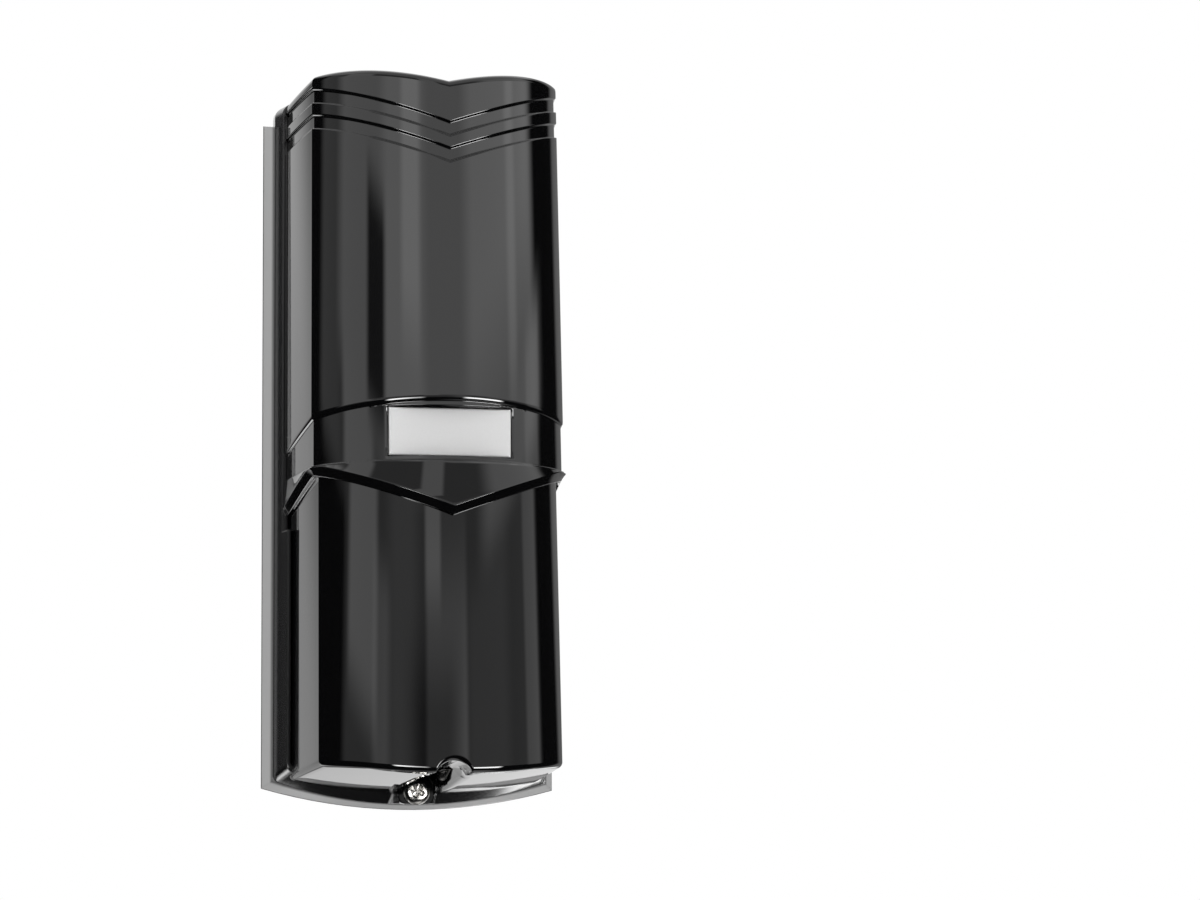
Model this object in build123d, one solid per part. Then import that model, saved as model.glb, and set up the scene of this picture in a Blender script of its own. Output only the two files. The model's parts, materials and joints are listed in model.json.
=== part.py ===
# Photoelectric twin beam sensor: a rounded, glossy cover over a wall-fixed rear housing, with two lens units inside
# that are aimed at the far post. Millimetres. Seen from the front, X runs to the right, Y runs into the wall and
# Z runs up. Heights below are over the lowest point of the housing and depths are in front of the wall. The parts
# are written with their origin on the wall, midway between the two fixing slots.
from build123d import *
import os
from math import cos, radians, sin, sqrt

os.makedirs("parts", exist_ok=True)

# Rear housing: outline sizes at the wall, at the foot of its side walls and at their front edge
tray_half = 38.6            # half width of the room inside
rim_wall = 1.1              # thickness of the side walls at their front edge
foot_wall = 3.0             # and at their foot
flange_out = 3.0            # how far the bevelled edge stands out from the foot of the walls
flange_depth = 3.6          # depth of the bevelled edge
flange_bevel = 2.7          # how far the bevel comes in
flange_top = 207.8          # height of its top corners
flange_corner = 6.1         # height of its bottom corners over the lowest point
wall_foot_mid = 1.4         # bottom wall at its foot, at the middle
wall_foot_corner = 8.2
top_wall_foot = 2.4         # thickness of the top wall at its foot
top_wall_rim = 1.8          # and at its front edge
wall_rim_deep = 18.0        # front edge of the side walls below the hood
wall_rim_shallow = 12.0     # front edge of the side walls above it
wall_step = 82.4            # height where the side walls step back
floor_thick = 3.0
top_corner_r = 3.6
room_corner_r = 3.0
bottom_corner_r = 2.4
tray_top = 210.8            # top of the room inside
tray_bottom_wall = 1.4      # thickness of the bottom wall at its front edge

# Cover: the outline seen from above, at its crease and at its top, and for the part below the hood
skirt_clear = 0.3           # side clearance between the cover's skirt and the housing
cover_wall = 2.6
shoulder_over = 1.0         # how far the side stands over the housing's room above the hood
side_gap = 1.4              # gap between the side and the housing's walls below the hood
crease = 97.6               # height of the line where the hood begins
roof_corner = 215.6         # roof over the corners, at their depth
roof_dip = 209.3            # roof over the middle, at the same depth
roof_fall = 0.07            # fall of the roof towards the wall
loft_over = 12.0            # how far the full blocks run past the cover before they are cut
upper_corner_low, upper_corner_high = 37.8, 36.9       # half width at the front corners
upper_corner_t_low, upper_corner_t_high = 50.4, 44.6   # depth of the front corners
upper_front_low, upper_front_high = 73.6, 68.0         # depth of the middle of the front
lower_corner_low, lower_corner_high = 36.1, 35.5
lower_corner_t_low, lower_corner_t_high = 54.6, 49.4
lower_front_low, lower_front_high = 75.9, 72.2
lower_ref = 10.0            # height at which the lower sizes are given
corner_round = 1.3
under_mid = 7.8             # underside of the cover at the middle
under_corner = 11.4         # and at the corners
cover_floor = 15.0          # inner floor of the cover
band_fall = 0.17            # slope of the band along the sides
hood_fall = 0.22            # slope of the hood along the sides
trim_corner_t = 50.0        # depth from which the side slopes fall
stripe_depth = 0.7
stripe_tips = (197.8, 190.0)
stripe_tall = 4.0
stripe_rise = 0.35          # rise of the chevrons for each mm out from the middle
stripe_fall = 0.05
band_mid, band_corner = 117.4, 111.4
band_depth = 0.7
hood_tip = 81.6
hood_rise = 0.335
lip_tall = 2.4
lip_rise = 0.363            # rise of the lip's upper line
lip_out = 1.2

# Name plate
plate_wide, plate_tall, plate_thick = 36.0, 14.0, 0.9
plate_z = 106.2
plate_front = 68.6          # depth of its front face
plate_clear = 0.35
plate_pad = 2.0             # wall left behind the plate
pad_round = 2.0             # how far that wall reaches past the plate
pad_sunk = 0.5

# Cover screw, its way in and what it screws into
screw_z = 4.7
channel_r = 6.5
lug_front = 14.6
lug_thick = 2.6
lug_half = 5.4
lug_low = 1.0
boss_half = 6.4
head_r, head_tall = 4.0, 2.6
shank_r = 1.9
washer_thick = 0.6
insert_r = 2.6
insert_length = 7.0
thread_clear = 0.05

# Gasket
gasket_in = 0.5             # set in from the skirt's outside
gasket_wide = 1.7
gasket_deep = 3.0

# Wall fixing and wiring entry
slot_r, slot_long = 2.25, 9.0
slot_spacing = 150.0
slot_low = 30.0
wiring_z = 86.0
wiring_r = 6.4
grommet_bore = 4.5
grommet_lip_r, grommet_lip = 8.4, 1.6

# Chassis that carries the optics and the circuit board
chassis_back, chassis_thick = 8.5, 2.0
chassis_gap = 2.7           # between the chassis and the cover's skirt
chassis_low, chassis_high = 16.5, 206.0
chassis_screw_x, chassis_screw_z = 28.0, (23.0, 200.0)
boss_r = 3.4
m3_r, m3_head_r, m3_head = 1.5, 2.8, 1.9
access_r = 6.0
shelf_thick, shelf_half, shelf_front = 2.5, 15.0, 47.0

# Lens units
unit_z = (160.0, 50.0)
pan_t = 38.0
shelf_gap = 27.0            # from a unit's middle to the shelf it turns on
ring_r = 21.5
cup_front, cup_back = 14.0, -12.0      # along the beam, from the pan axis
cup_back_r = 9.0
cup_wall = 1.6
lens_r, lens_edge, lens_dome = 19.4, 2.2, 6.0
bezel_thick, bezel_in = 1.2, 18.2
bezel_step, bezel_clear = 0.7, 0.05
trunnion_r, trunnion_clear = 2.45, 0.05
arm_thick, arm_half, arm_gap = 2.0, 5.0, 0.4
disc_thick = 2.0
pivot_r, pivot_clear = 4.0, 0.05
pivot_tail = 1.6
washer_r = 6.0
aim_board_r, aim_board_thick = 8.4, 1.2
diode_r, diode_tall = 2.4, 5.0

# Circuit board
board_half, board_low, board_high = 30.0, 83.5, 126.5
board_back, board_thick = 16.0, 1.6
notch_half, notch_top = 9.0, 90.8
post_r, board_screw_x, board_screw_z = 2.8, 26.5, (87.0, 122.5)
m25_r, m25_head_r, m25_head = 1.25, 2.3, 1.6
terminal_count, terminal_pitch = 8, 6.5
terminal_low, terminal_tall, terminal_deep = 91.5, 10.0, 11.0
terminal_screw_r, terminal_screw_tall, terminal_screw_up = 2.0, 3.5, 6.0
well_floor, well_clear = 5.0, 0.3
mouth_half, mouth_low, mouth_high, mouth_deep = 2.2, 3.0, 7.5, 3.0
driver_slot, driver_deep = 0.6, 1.0
relay_size, relay_place = (15.5, 11.0, 12.0), (-22.0, 103.0)
capacitor_r, capacitor_tall = 4.0, 11.0
capacitor_places = ((-0.5, 107.5), (8.5, 107.5))
trimmer_size, trimmer_deep, trimmer_place = 8.0, 5.0, (15.0, 103.5)
rotor_r, rotor_clear, rotor_tall = 2.6, 0.05, 2.6
led_r, led_tall, led_z, led_spacing = 1.5, 4.6, 122.6, 7.0
chip_size, chip_places = (8.0, 5.0, 1.6), ((-19.5, 116.0), (12.5, 114.5), (-4.0, 113.5))

# Tamper switch
tamper_x, tamper_z = 16.5, 19.6
tamper_wide, tamper_tall, tamper_deep = 12.0, 5.4, 8.0
plunger_r, plunger_clear, plunger_out = 1.5, 0.05, 5.0
plunger_in = 4.0
rib_thick, rib_half, rib_over = 2.0, 3.0, 2.5
aim_window, aim_window_x = (12.0, 24.0), 22.0

chassis_front = chassis_back + chassis_thick
board_front = board_back + board_thick
far = 3 * tray_half         # a reach past the whole object, for cuts
wall_rim_half = tray_half + rim_wall
wall_foot_half = tray_half + foot_wall
flange_half = wall_foot_half + flange_out
shoulder_half = tray_half + shoulder_over
shoulder_half_low = tray_half - side_gap
skirt_half = tray_half - skirt_clear
chassis_half = skirt_half - cover_wall - chassis_gap
wall_top_foot = tray_top + top_wall_foot
wall_top_rim = tray_top + top_wall_rim
skirt_top = tray_top - skirt_clear
skirt_back = floor_thick + gasket_deep
lens_sphere_r = (lens_r ** 2 + lens_dome ** 2) / (2 * lens_dome)
origin_z = slot_low + slot_spacing / 2


def mix(low, high, part):
    """A value part of the way from low to high."""
    return low + (high - low) * part


def slab(x0, x1, t0, t1, z0, z1):
    """A block between two widths, two depths in front of the wall and two heights."""
    return Pos((x0 + x1) / 2, -(t0 + t1) / 2, (z0 + z1) / 2) * Box(x1 - x0, t1 - t0, z1 - z0)


def rod(x, z, r, t0, t1):
    """A round bar that stands out from the wall."""
    return extrude(Plane.XZ.offset(t0) * Pos(x, z) * Circle(r), t1 - t0)


def post(x, t, r, z0, z1):
    """A round bar that stands up."""
    return extrude(Plane.XY.offset(z0) * Pos(x, -t) * Circle(r), z1 - z0)


def arched_face(half, mid, corner, top, r_top, r_bottom):
    """A tall outline seen from the front, with a bowed bottom edge."""
    line = Line((-half, corner), (-half, top)) + Line((-half, top), (half, top)) + Line((half, top), (half, corner))
    face = make_face(line + ThreePointArc((half, corner), (0, mid), (-half, corner)))
    points = sorted(face.vertices(), key=lambda v: v.Y)
    if r_bottom:
        face = fillet(points[:2], r_bottom)
        points = sorted(face.vertices(), key=lambda v: v.Y)
    return fillet(points[-2:], r_top) if r_top else face


def plan_face(back_half, back_t, corner_half, corner_t, front_t, inset, round_r):
    """The cover's outline seen from above: sides that draw in, two front corners and one arc."""
    bulge = front_t - corner_t
    arc_r = (corner_half ** 2 + bulge ** 2) / (2 * bulge)
    centre_t = front_t - arc_r
    half = corner_half - inset
    t = centre_t + sqrt((arc_r - inset) ** 2 - half ** 2)
    back = back_half - inset
    edge = Line((half, -t), (back, -back_t)) + Line((back, -back_t), (-back, -back_t)) + Line((-back, -back_t), (-half, -t))
    face = make_face(edge + ThreePointArc((-half, -t), (0, inset - front_t), (half, -t)))
    corners = sorted(face.vertices(), key=lambda v: v.Y)[:2]
    return fillet(corners, round_r) if round_r else face


def upper_body(inset, round_r=corner_round, low=hood_tip - loft_over, high=roof_corner + loft_over):
    """The cover above the hood's edge, as a full block."""
    faces = []
    for z in (low, high):
        part = (z - crease) / (roof_corner - crease)
        faces.append(Plane.XY.offset(z) * plan_face(
            shoulder_half, wall_rim_shallow, mix(upper_corner_low, upper_corner_high, part),
            mix(upper_corner_t_low, upper_corner_t_high, part), mix(upper_front_low, upper_front_high, part),
            inset, round_r))
    return loft(faces, ruled=True)


def lower_body(inset, round_r=corner_round, low=-loft_over, high=crease + loft_over):
    """The cover below the hood, as a full block."""
    faces = []
    for z in (low, high):
        part = (z - lower_ref) / (crease - lower_ref)
        faces.append(Plane.XY.offset(z) * plan_face(
            shoulder_half_low, wall_rim_shallow, mix(lower_corner_low, lower_corner_high, part),
            mix(lower_corner_t_low, lower_corner_t_high, part), mix(lower_front_low, lower_front_high, part),
            inset, round_r))
    return loft(faces, ruled=True)


def under_trim(front_line, corner_z, fall):
    """All that lies below a trim line, which crosses the front as front_line and falls back along the sides."""
    start, end = front_line @ 0, front_line @ 1
    closed = front_line + Polyline((end.X, end.Y), (end.X, -far), (start.X, -far), (start.X, start.Y))
    front = extrude(Plane.XZ.offset(-far) * make_face(closed), 2 * far)
    side = make_face(Polyline((far - trim_corner_t, corner_z - fall * far), (-trim_corner_t, corner_z),
                              (-trim_corner_t - far, corner_z + fall * far), (-trim_corner_t - far, -far),
                              (far - trim_corner_t, -far), close=True))
    return front & extrude(Plane.YZ.offset(-far) * side, 2 * far)


def under_chevron(tip, rise, fall):
    """All that lies below a V that rises from the middle of the front to the corners."""
    line = Polyline((-far, tip + rise * far), (0, tip), (far, tip + rise * far))
    return under_trim(line, tip + rise * upper_corner_low, fall)


def under_band():
    """All that lies below the bowed top edge of the middle band."""
    half = upper_corner_low
    line = Line((-far, band_corner), (-half, band_corner))
    line += ThreePointArc((-half, band_corner), (0, band_mid), (half, band_corner))
    return under_trim(line + Line((half, band_corner), (far, band_corner)), band_corner, band_fall)


def roof_volume(lower_by):
    """The room below the roof, which dips to the middle and falls to the wall, lower_by under its outside."""
    lift = roof_fall * (far - trim_corner_t) - lower_by
    dip = roof_dip + lift
    edge = dip + (roof_corner - roof_dip) / upper_corner_low * far
    face = make_face(Polyline((-far, -far), (-far, edge), (0, dip), (far, edge), (far, -far), close=True))
    return extrude(Plane.XZ.offset(far) * face, dir=(0, 1, -roof_fall), amount=sqrt(1 + roof_fall ** 2) * far * 1.5)


def above_underside(gap):
    """All that lies above the cover's bowed underside, gap lower than it."""
    half = upper_corner_low + loft_over
    face = arched_face(half, under_mid - gap, underside_at(half) - gap, roof_corner + far, 0, 0)
    return extrude(Plane.XZ * face, far)


def underside_at(x):
    """Height of the underside at a distance x from the middle."""
    sag = under_corner - under_mid
    r = (lower_corner_low ** 2 + sag ** 2) / (2 * sag)
    return under_mid + r - sqrt(r * r - x * x)


def skirt_face(inset):
    """Outline of the cover's skirt seen from the front."""
    return arched_face(skirt_half - inset, under_mid + inset, underside_at(skirt_half - inset) + inset,
                       skirt_top - inset, max(room_corner_r - inset, 0.5), bottom_corner_r)


def channel(t0, t1, r):
    """The half-round way to the screw, open below."""
    return rod(0, screw_z, r, t0, t1) + slab(-r, r, t0, t1, -far, screw_z)


def base_housing():
    """Rear housing: bevelled edge, side walls, floor, screw boss, chassis bosses, slots and wiring hole."""
    outer = arched_face(flange_half, 0, flange_corner, flange_top, 0, 0)
    inner = arched_face(flange_half - flange_bevel, wall_foot_mid, flange_corner + flange_bevel * 0.7,
                        flange_top - flange_bevel * 0.3, 0, 0)
    body = loft([Plane.XZ * outer, Plane.XZ.offset(flange_depth) * inner], ruled=True)
    foot = arched_face(wall_foot_half, wall_foot_mid, wall_foot_corner, wall_top_foot, top_corner_r, bottom_corner_r)
    rim_mid = under_mid - skirt_clear - tray_bottom_wall
    rim_corner = underside_at(wall_rim_half) - skirt_clear - tray_bottom_wall
    rim = arched_face(wall_rim_half, rim_mid, rim_corner, wall_top_rim, top_corner_r, bottom_corner_r)
    body += extrude(Plane.XZ * foot, flange_depth)
    body += loft([Plane.XZ.offset(flange_depth) * foot, Plane.XZ.offset(wall_rim_deep) * rim], ruled=True)
    body -= slab(-far, far, wall_rim_shallow, far, wall_step, 2 * far)
    room = arched_face(tray_half, under_mid - skirt_clear, underside_at(tray_half) - skirt_clear, tray_top,
                       room_corner_r, bottom_corner_r)
    body -= extrude(Plane.XZ.offset(floor_thick) * room, far)
    boss_top = under_mid - skirt_clear
    lug_back = lug_front - lug_thick
    body += slab(-boss_half, boss_half, 1, lug_back, wall_foot_mid, boss_top)
    body -= slab(-lug_half - skirt_clear, lug_half + skirt_clear, lug_back, far, -far, boss_top + lug_thick)
    body -= channel(lug_front, far, channel_r)
    body -= rod(0, screw_z, insert_r + thread_clear, lug_back - insert_length, lug_back)
    body -= rod(0, screw_z, shank_r + 0.4, floor_thick, lug_back)
    for x in (-chassis_screw_x, chassis_screw_x):
        for z in chassis_screw_z:
            body += rod(x, z, boss_r, floor_thick - 1, chassis_back)
            body -= rod(x, z, m3_r + thread_clear, floor_thick - 1.5, chassis_back)
    for z in (slot_low, slot_low + slot_spacing):
        body -= slab(-slot_r, slot_r, -1, floor_thick + 1, z - slot_long / 2 + slot_r, z + slot_long / 2 - slot_r)
        for end in (-1, 1):
            body -= rod(0, z + end * (slot_long / 2 - slot_r), slot_r, -1, floor_thick + 1)
    return body - rod(0, wiring_z, wiring_r, -1, floor_thick + 1)


def front_cover():
    """One-piece cover: chevrons, recessed band, name-plate pocket, hood and the way in to the screw."""
    roof = roof_volume(0)
    hood_edge = under_chevron(hood_tip, hood_rise, hood_fall)
    lip_edge = under_chevron(hood_tip + lip_tall, lip_rise, hood_fall)
    upper = upper_body(0)
    hood = (upper & roof) - hood_edge
    for tip in stripe_tips:
        ring = under_chevron(tip, stripe_rise, stripe_fall) - under_chevron(tip - stripe_tall, stripe_rise, stripe_fall)
        hood -= (ring & upper) - upper_body(stripe_depth, corner_round - stripe_depth / 2)
    band = under_band() - slab(-far, far, -far, far, -far, crease)
    hood -= (band & upper) - upper_body(band_depth, corner_round - band_depth / 2)
    lip = (lip_edge & upper_body(-lip_out, corner_round + lip_out)) - hood_edge
    body = hood + lip + (lower_body(0) & lip_edge)
    skirt_length = wall_rim_shallow - skirt_back
    body += extrude(Plane.XZ.offset(skirt_back) * skirt_face(0), skirt_length)
    body &= above_underside(0)
    body += plate_pad_block()
    inner = upper_body(cover_wall, 0) & roof_volume(cover_wall)
    inner -= slab(-far, far, -far, far, -far, crease - pad_sunk)
    inner += lower_body(cover_wall, 0) & slab(-far, far, -far, far, cover_floor, crease)
    inner -= plate_pad_block()
    body -= inner
    behind = skirt_half - cover_wall
    body -= slab(-behind, behind, 0, wall_rim_shallow + pad_sunk, cover_floor, skirt_top - cover_wall)
    body -= slab(-plate_wide / 2 - plate_clear, plate_wide / 2 + plate_clear, plate_front - plate_thick, far,
                 plate_z - plate_tall / 2 - plate_clear, plate_z + plate_tall / 2 + plate_clear)
    body -= channel(lug_front, far, channel_r)
    lug_back = lug_front - lug_thick
    body += slab(-lug_half, lug_half, lug_back, lug_front, lug_low, cover_floor - pad_sunk)
    body -= rod(0, screw_z, shank_r + skirt_clear, 0, far)
    rib_back = chassis_front + tamper_deep + plunger_out
    return body + slab(tamper_x - rib_half, tamper_x + rib_half, rib_back, rib_back + rib_thick,
                       cover_floor - pad_sunk, tamper_z + rib_over)


def plate_pad_block():
    """Thickening behind the name plate."""
    back = plate_front - plate_thick - plate_pad
    return slab(-plate_wide / 2 - pad_round, plate_wide / 2 + pad_round, back, plate_front - pad_sunk,
                plate_z - plate_tall / 2 - pad_round, plate_z + plate_tall / 2 + pad_round)


def name_plate():
    """Blank plate with softened edges."""
    plate = slab(-plate_wide / 2, plate_wide / 2, plate_front - plate_thick, plate_front,
                 plate_z - plate_tall / 2, plate_z + plate_tall / 2)
    return chamfer(plate.faces().sort_by(Axis.Y)[0].edges(), 0.3)


def cover_gasket():
    """Rubber ring that the cover's skirt presses on."""
    ring = skirt_face(gasket_in) - skirt_face(gasket_in + gasket_wide)
    return extrude(Plane.XZ.offset(floor_thick) * ring, gasket_deep)


def pan_screw(x, z, t, shank, reach, head, tall, slots):
    """Pan-head screw driven towards the wall, its head's underside at depth t, with a cross recess."""
    body = rod(x, z, head, t, t + tall)
    body = fillet(body.faces().sort_by(Axis.Y)[0].edges(), tall * 0.6)
    for wide, high in ((head * 1.1, head * 0.28), (head * 0.28, head * 1.1)):
        body -= slab(x - wide / 2, x + wide / 2, t + tall * slots, t + tall + 1, z - high / 2, z + high / 2)
    return body + rod(x, z, shank, t - reach, t)


def cover_screw():
    """Screw that holds the cover on."""
    return pan_screw(0, screw_z, lug_front + washer_thick, shank_r, washer_thick + lug_thick + insert_length - 1,
                     head_r, head_tall, 0.45)


def cover_screw_washer():
    """Flat washer below the cover screw's head."""
    return rod(0, screw_z, head_r - 0.3, lug_front, lug_front + washer_thick) - rod(
        0, screw_z, shank_r + 0.1, lug_front - 1, lug_front + washer_thick + 1)


def cover_screw_insert():
    """Threaded insert in the housing's boss."""
    front = lug_front - lug_thick
    return rod(0, screw_z, insert_r, front - insert_length, front) - rod(
        0, screw_z, shank_r + thread_clear, front - insert_length - 1, front + 1)


def wiring_grommet():
    """Rubber grommet in the wiring hole."""
    body = rod(0, wiring_z, wiring_r - thread_clear, 0.2, floor_thick + grommet_lip)
    body += rod(0, wiring_z, grommet_lip_r, floor_thick, floor_thick + grommet_lip)
    return body - rod(0, wiring_z, grommet_bore, -1, floor_thick + grommet_lip + 1)


def shelf_heights(unit):
    """Lower and upper face of the shelf that a lens unit turns on."""
    if unit == 0:
        top = unit_z[0] - shelf_gap
        return top - shelf_thick, top
    low = unit_z[1] + shelf_gap
    return low, low + shelf_thick


def inner_chassis():
    """Moulded frame with a shelf for each lens unit and posts for the circuit board."""
    body = slab(-chassis_half, chassis_half, chassis_back, chassis_front, chassis_low, chassis_high)
    for unit in (0, 1):
        low, high = shelf_heights(unit)
        body += slab(-shelf_half, shelf_half, chassis_back, pan_t, low, high)
        body += post(0, pan_t, shelf_front - pan_t, low, high)
        toward = -1 if unit == 0 else 1
        face = low if unit == 0 else high
        for x in (-shelf_half, shelf_half - 2):
            web = make_face(Polyline((-chassis_front, face), (-pan_t + 8, face),
                                     (-chassis_front, face + toward * 3.2), close=True))
            body += extrude(Plane.YZ.offset(x) * web, 2)
        body -= post(0, pan_t, pivot_r + pivot_clear, low - 1, high + 1)
    for x in (-board_screw_x, board_screw_x):
        for z in board_screw_z:
            body += rod(x, z, post_r, chassis_front, board_back)
            body -= rod(x, z, m25_r + thread_clear, chassis_back + 0.5, board_back)
    for x in (-chassis_screw_x, chassis_screw_x):
        for z in chassis_screw_z:
            body -= rod(x, z, m3_r + 0.2, chassis_back - 1, chassis_front + 1)
    for z in (slot_low, slot_low + slot_spacing):
        body -= rod(0, z, access_r, chassis_back - 1, chassis_front + 1)
    body -= rod(0, wiring_z, wiring_r, chassis_back - 1, chassis_front + 1)
    for z in (unit_z[0], unit_z[1]):
        for x in (-aim_window_x, aim_window_x):
            body -= slab(x - aim_window[0] / 2, x + aim_window[0] / 2, chassis_back - 1, chassis_front + 1,
                         z - aim_window[1] / 2, z + aim_window[1] / 2)
    return body


def chassis_screws():
    """Four screws that hold the chassis on the housing."""
    group = [pan_screw(x, z, chassis_front, m3_r, chassis_front - floor_thick, m3_head_r, m3_head, 0.45)
             for x in (-chassis_screw_x, chassis_screw_x) for z in chassis_screw_z]
    return Compound(group)


def pan_bracket(unit):
    """Fork that turns on its shelf and holds the lens cup between two arms."""
    z = unit_z[unit]
    low, high = shelf_heights(unit)
    up = 1 if unit == 0 else -1
    base_z = high if unit == 0 else low
    disc_z = base_z + up * disc_thick
    outside = ring_r + arm_gap + arm_thick
    body = slab(-outside, outside, pan_t - arm_half, pan_t + arm_half, min(base_z, disc_z), max(base_z, disc_z))
    body += post(0, pan_t, 10.0, min(base_z, disc_z), max(base_z, disc_z))
    for side in (-1, 1):
        x0, x1 = sorted((side * (ring_r + arm_gap), side * outside))
        body += slab(x0, x1, pan_t - arm_half, pan_t + arm_half, min(base_z, z), max(base_z, z))
        body += extrude(Plane.YZ.offset(x0) * Pos(-pan_t, z) * Circle(arm_half), arm_thick)
        body -= extrude(Plane.YZ.offset(x0 - 1) * Pos(-pan_t, z) * Circle(trunnion_r + trunnion_clear), arm_thick + 2)
    far = low - pivot_tail if unit == 0 else high + pivot_tail
    body += post(0, pan_t, pivot_r, min(disc_z, far), max(disc_z, far))
    screw_end = far + up * 8
    return body - post(0, pan_t, m25_r + thread_clear, min(far, screw_end) - 0.01, max(far, screw_end))


def pivot_keeper(unit):
    """Washer-head screw that keeps the fork's pivot in the shelf."""
    low, high = shelf_heights(unit)
    if unit == 0:
        far = low - pivot_tail
        head, shank = post(0, pan_t, washer_r, far - 1.2, far), post(0, pan_t, m25_r, far - 0.5, far + 6)
        return head + shank
    far = high + pivot_tail
    return post(0, pan_t, washer_r, far, far + 1.2) + post(0, pan_t, m25_r, far - 6, far + 0.5)


def beam_turn(unit, points):
    """A round piece about a unit's beam axis; points give radius and distance in front of the pan axis."""
    outline = make_face(Polyline(*[(r, pan_t + t) for r, t in points], close=True))
    turned = revolve(outline, Axis.Y, 360)
    return Pos(0, 0, unit_z[unit]) * Rot(0, 0, 180) * turned


def lens_cup(unit):
    """Cup that holds the lens in front and the aiming board behind, on two trunnions."""
    seat = cup_front - bezel_thick - lens_edge
    body = beam_turn(unit, [(0, cup_back), (cup_back_r, cup_back), (ring_r, seat - 3), (ring_r, cup_front),
                            (0, cup_front)])
    body -= beam_turn(unit, [(0, cup_back + cup_wall), (cup_back_r - 1, cup_back + cup_wall),
                             (lens_r - 1.6, seat - 3), (lens_r - 1.6, seat), (0, seat)])
    body -= beam_turn(unit, [(0, seat - 0.01), (lens_r + 0.1, seat - 0.01), (lens_r + 0.1, cup_front - bezel_thick),
                             (lens_r + bezel_step + 0.1, cup_front - bezel_thick),
                             (lens_r + bezel_step + 0.1, cup_front + 1), (0, cup_front + 1)])
    z = unit_z[unit]
    reach = ring_r + arm_gap + arm_thick
    for side in (-1, 1):
        start = sorted((side * (ring_r - 7.5), side * reach))
        bar = extrude(Plane.YZ.offset(start[0]) * Pos(-pan_t, z) * Circle(trunnion_r), start[1] - start[0])
        body += bar - beam_turn(unit, [(0, cup_back + cup_wall), (cup_back_r - 1, cup_back + cup_wall),
                                       (lens_r - 1.6, seat - 3), (lens_r - 1.6, seat), (0, seat)])
    return body - beam_turn(unit, [(0, cup_back - 1), (diode_r + 0.3, cup_back - 1),
                                   (diode_r + 0.3, cup_back + cup_wall + 1), (0, cup_back + cup_wall + 1)])


def lens(unit):
    """Plano-convex lens."""
    z = unit_z[unit]
    seat = cup_front - bezel_thick - lens_edge
    rim = pan_t + seat + lens_edge
    disc = rod(0, z, lens_r, pan_t + seat, rim + lens_dome)
    return disc & (Pos(0, -(rim + lens_dome - lens_sphere_r), z) * Sphere(lens_sphere_r))


def lens_bezel(unit):
    """Snap ring over the edge of the lens."""
    z = unit_z[unit]
    back = pan_t + cup_front - bezel_thick
    ring = rod(0, z, lens_r + bezel_step, back, back + bezel_thick) - rod(0, z, bezel_in, back - 1, back + 5)
    return ring - Pos(0, -(back + lens_dome - lens_sphere_r), z) * Sphere(lens_sphere_r + bezel_clear)


def aim_board(unit):
    """Small round circuit board on the back of the lens cup."""
    z = unit_z[unit]
    front = pan_t + cup_back
    return rod(0, z, aim_board_r, front - aim_board_thick, front)


def infrared_diode(unit):
    """Round-nosed diode at the focus of the lens."""
    z = unit_z[unit]
    start = pan_t + cup_back
    nose = start + diode_tall - diode_r
    return rod(0, z, diode_r, start, nose) + Pos(0, -nose, z) * Sphere(diode_r)


def circuit_board():
    """Main board with holes for its screws and a notch for the wires."""
    board = slab(-board_half, board_half, board_back, board_front, board_low, board_high)
    for x in (-board_screw_x, board_screw_x):
        for z in board_screw_z:
            board -= rod(x, z, m25_r + 0.2, board_back - 1, board_front + 1)
    return board - slab(-notch_half, notch_half, board_back - 1, board_front + 1, board_low - 1, notch_top)


def board_screws():
    """Four screws that hold the board on its posts."""
    reach = board_front - chassis_back - 1.0
    group = [pan_screw(x, z, board_front, m25_r, reach, m25_head_r, m25_head, 0.45)
             for x in (-board_screw_x, board_screw_x) for z in board_screw_z]
    return Compound(group)


def terminal_places():
    """Sideways places of the terminals."""
    return [(i - (terminal_count - 1) / 2) * terminal_pitch for i in range(terminal_count)]


def terminal_block():
    """Wiring block with a screw well and a wire mouth for each terminal."""
    half = terminal_count * terminal_pitch / 2
    top = terminal_low + terminal_tall
    body = slab(-half, half, board_front, board_front + terminal_deep, terminal_low, top)
    for x in terminal_places():
        body -= rod(x, terminal_low + terminal_screw_up, terminal_screw_r + well_clear, board_front + well_floor, far)
        body -= slab(x - mouth_half, x + mouth_half, board_front + mouth_low, board_front + mouth_high,
                     -far, terminal_low + mouth_deep)
    return body


def terminal_screws():
    """Slotted terminal screws in their wells."""
    group = []
    z = terminal_low + terminal_screw_up
    end = board_front + well_floor + terminal_screw_tall
    for x in terminal_places():
        screw = rod(x, z, terminal_screw_r, board_front + well_floor, end)
        group.append(screw - slab(x - far, x + far, end - driver_deep, far, z - driver_slot / 2, z + driver_slot / 2))
    return Compound(group)


def alarm_relay():
    """Sealed relay."""
    wide, tall, deep = relay_size
    x, z = relay_place
    body = slab(x, x + wide, board_front, board_front + deep, z, z + tall)
    return chamfer(body.edges().filter_by(Axis.Y), 0.6)


def capacitors():
    """Two can capacitors."""
    group = []
    for x, z in capacitor_places:
        can = rod(x, z, capacitor_r, board_front, board_front + capacitor_tall)
        group.append(fillet(can.edges().sort_by(Axis.Y)[0], 0.6))
    return Compound(group)


def chips():
    """Flat packages on the board."""
    wide, tall, deep = chip_size
    return Compound([slab(x, x + wide, board_front, board_front + deep, z, z + tall)
                              for x, z in chip_places])


def delay_trimmer():
    """Body of the response-time trimmer."""
    x0, z0 = trimmer_place
    body = slab(x0, x0 + trimmer_size, board_front, board_front + trimmer_deep, z0, z0 + trimmer_size)
    mid = (x0 + trimmer_size / 2, z0 + trimmer_size / 2)
    return body - rod(*mid, rotor_r + rotor_clear, board_front + trimmer_deep - 1.8, board_front + trimmer_deep + 1)


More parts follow.
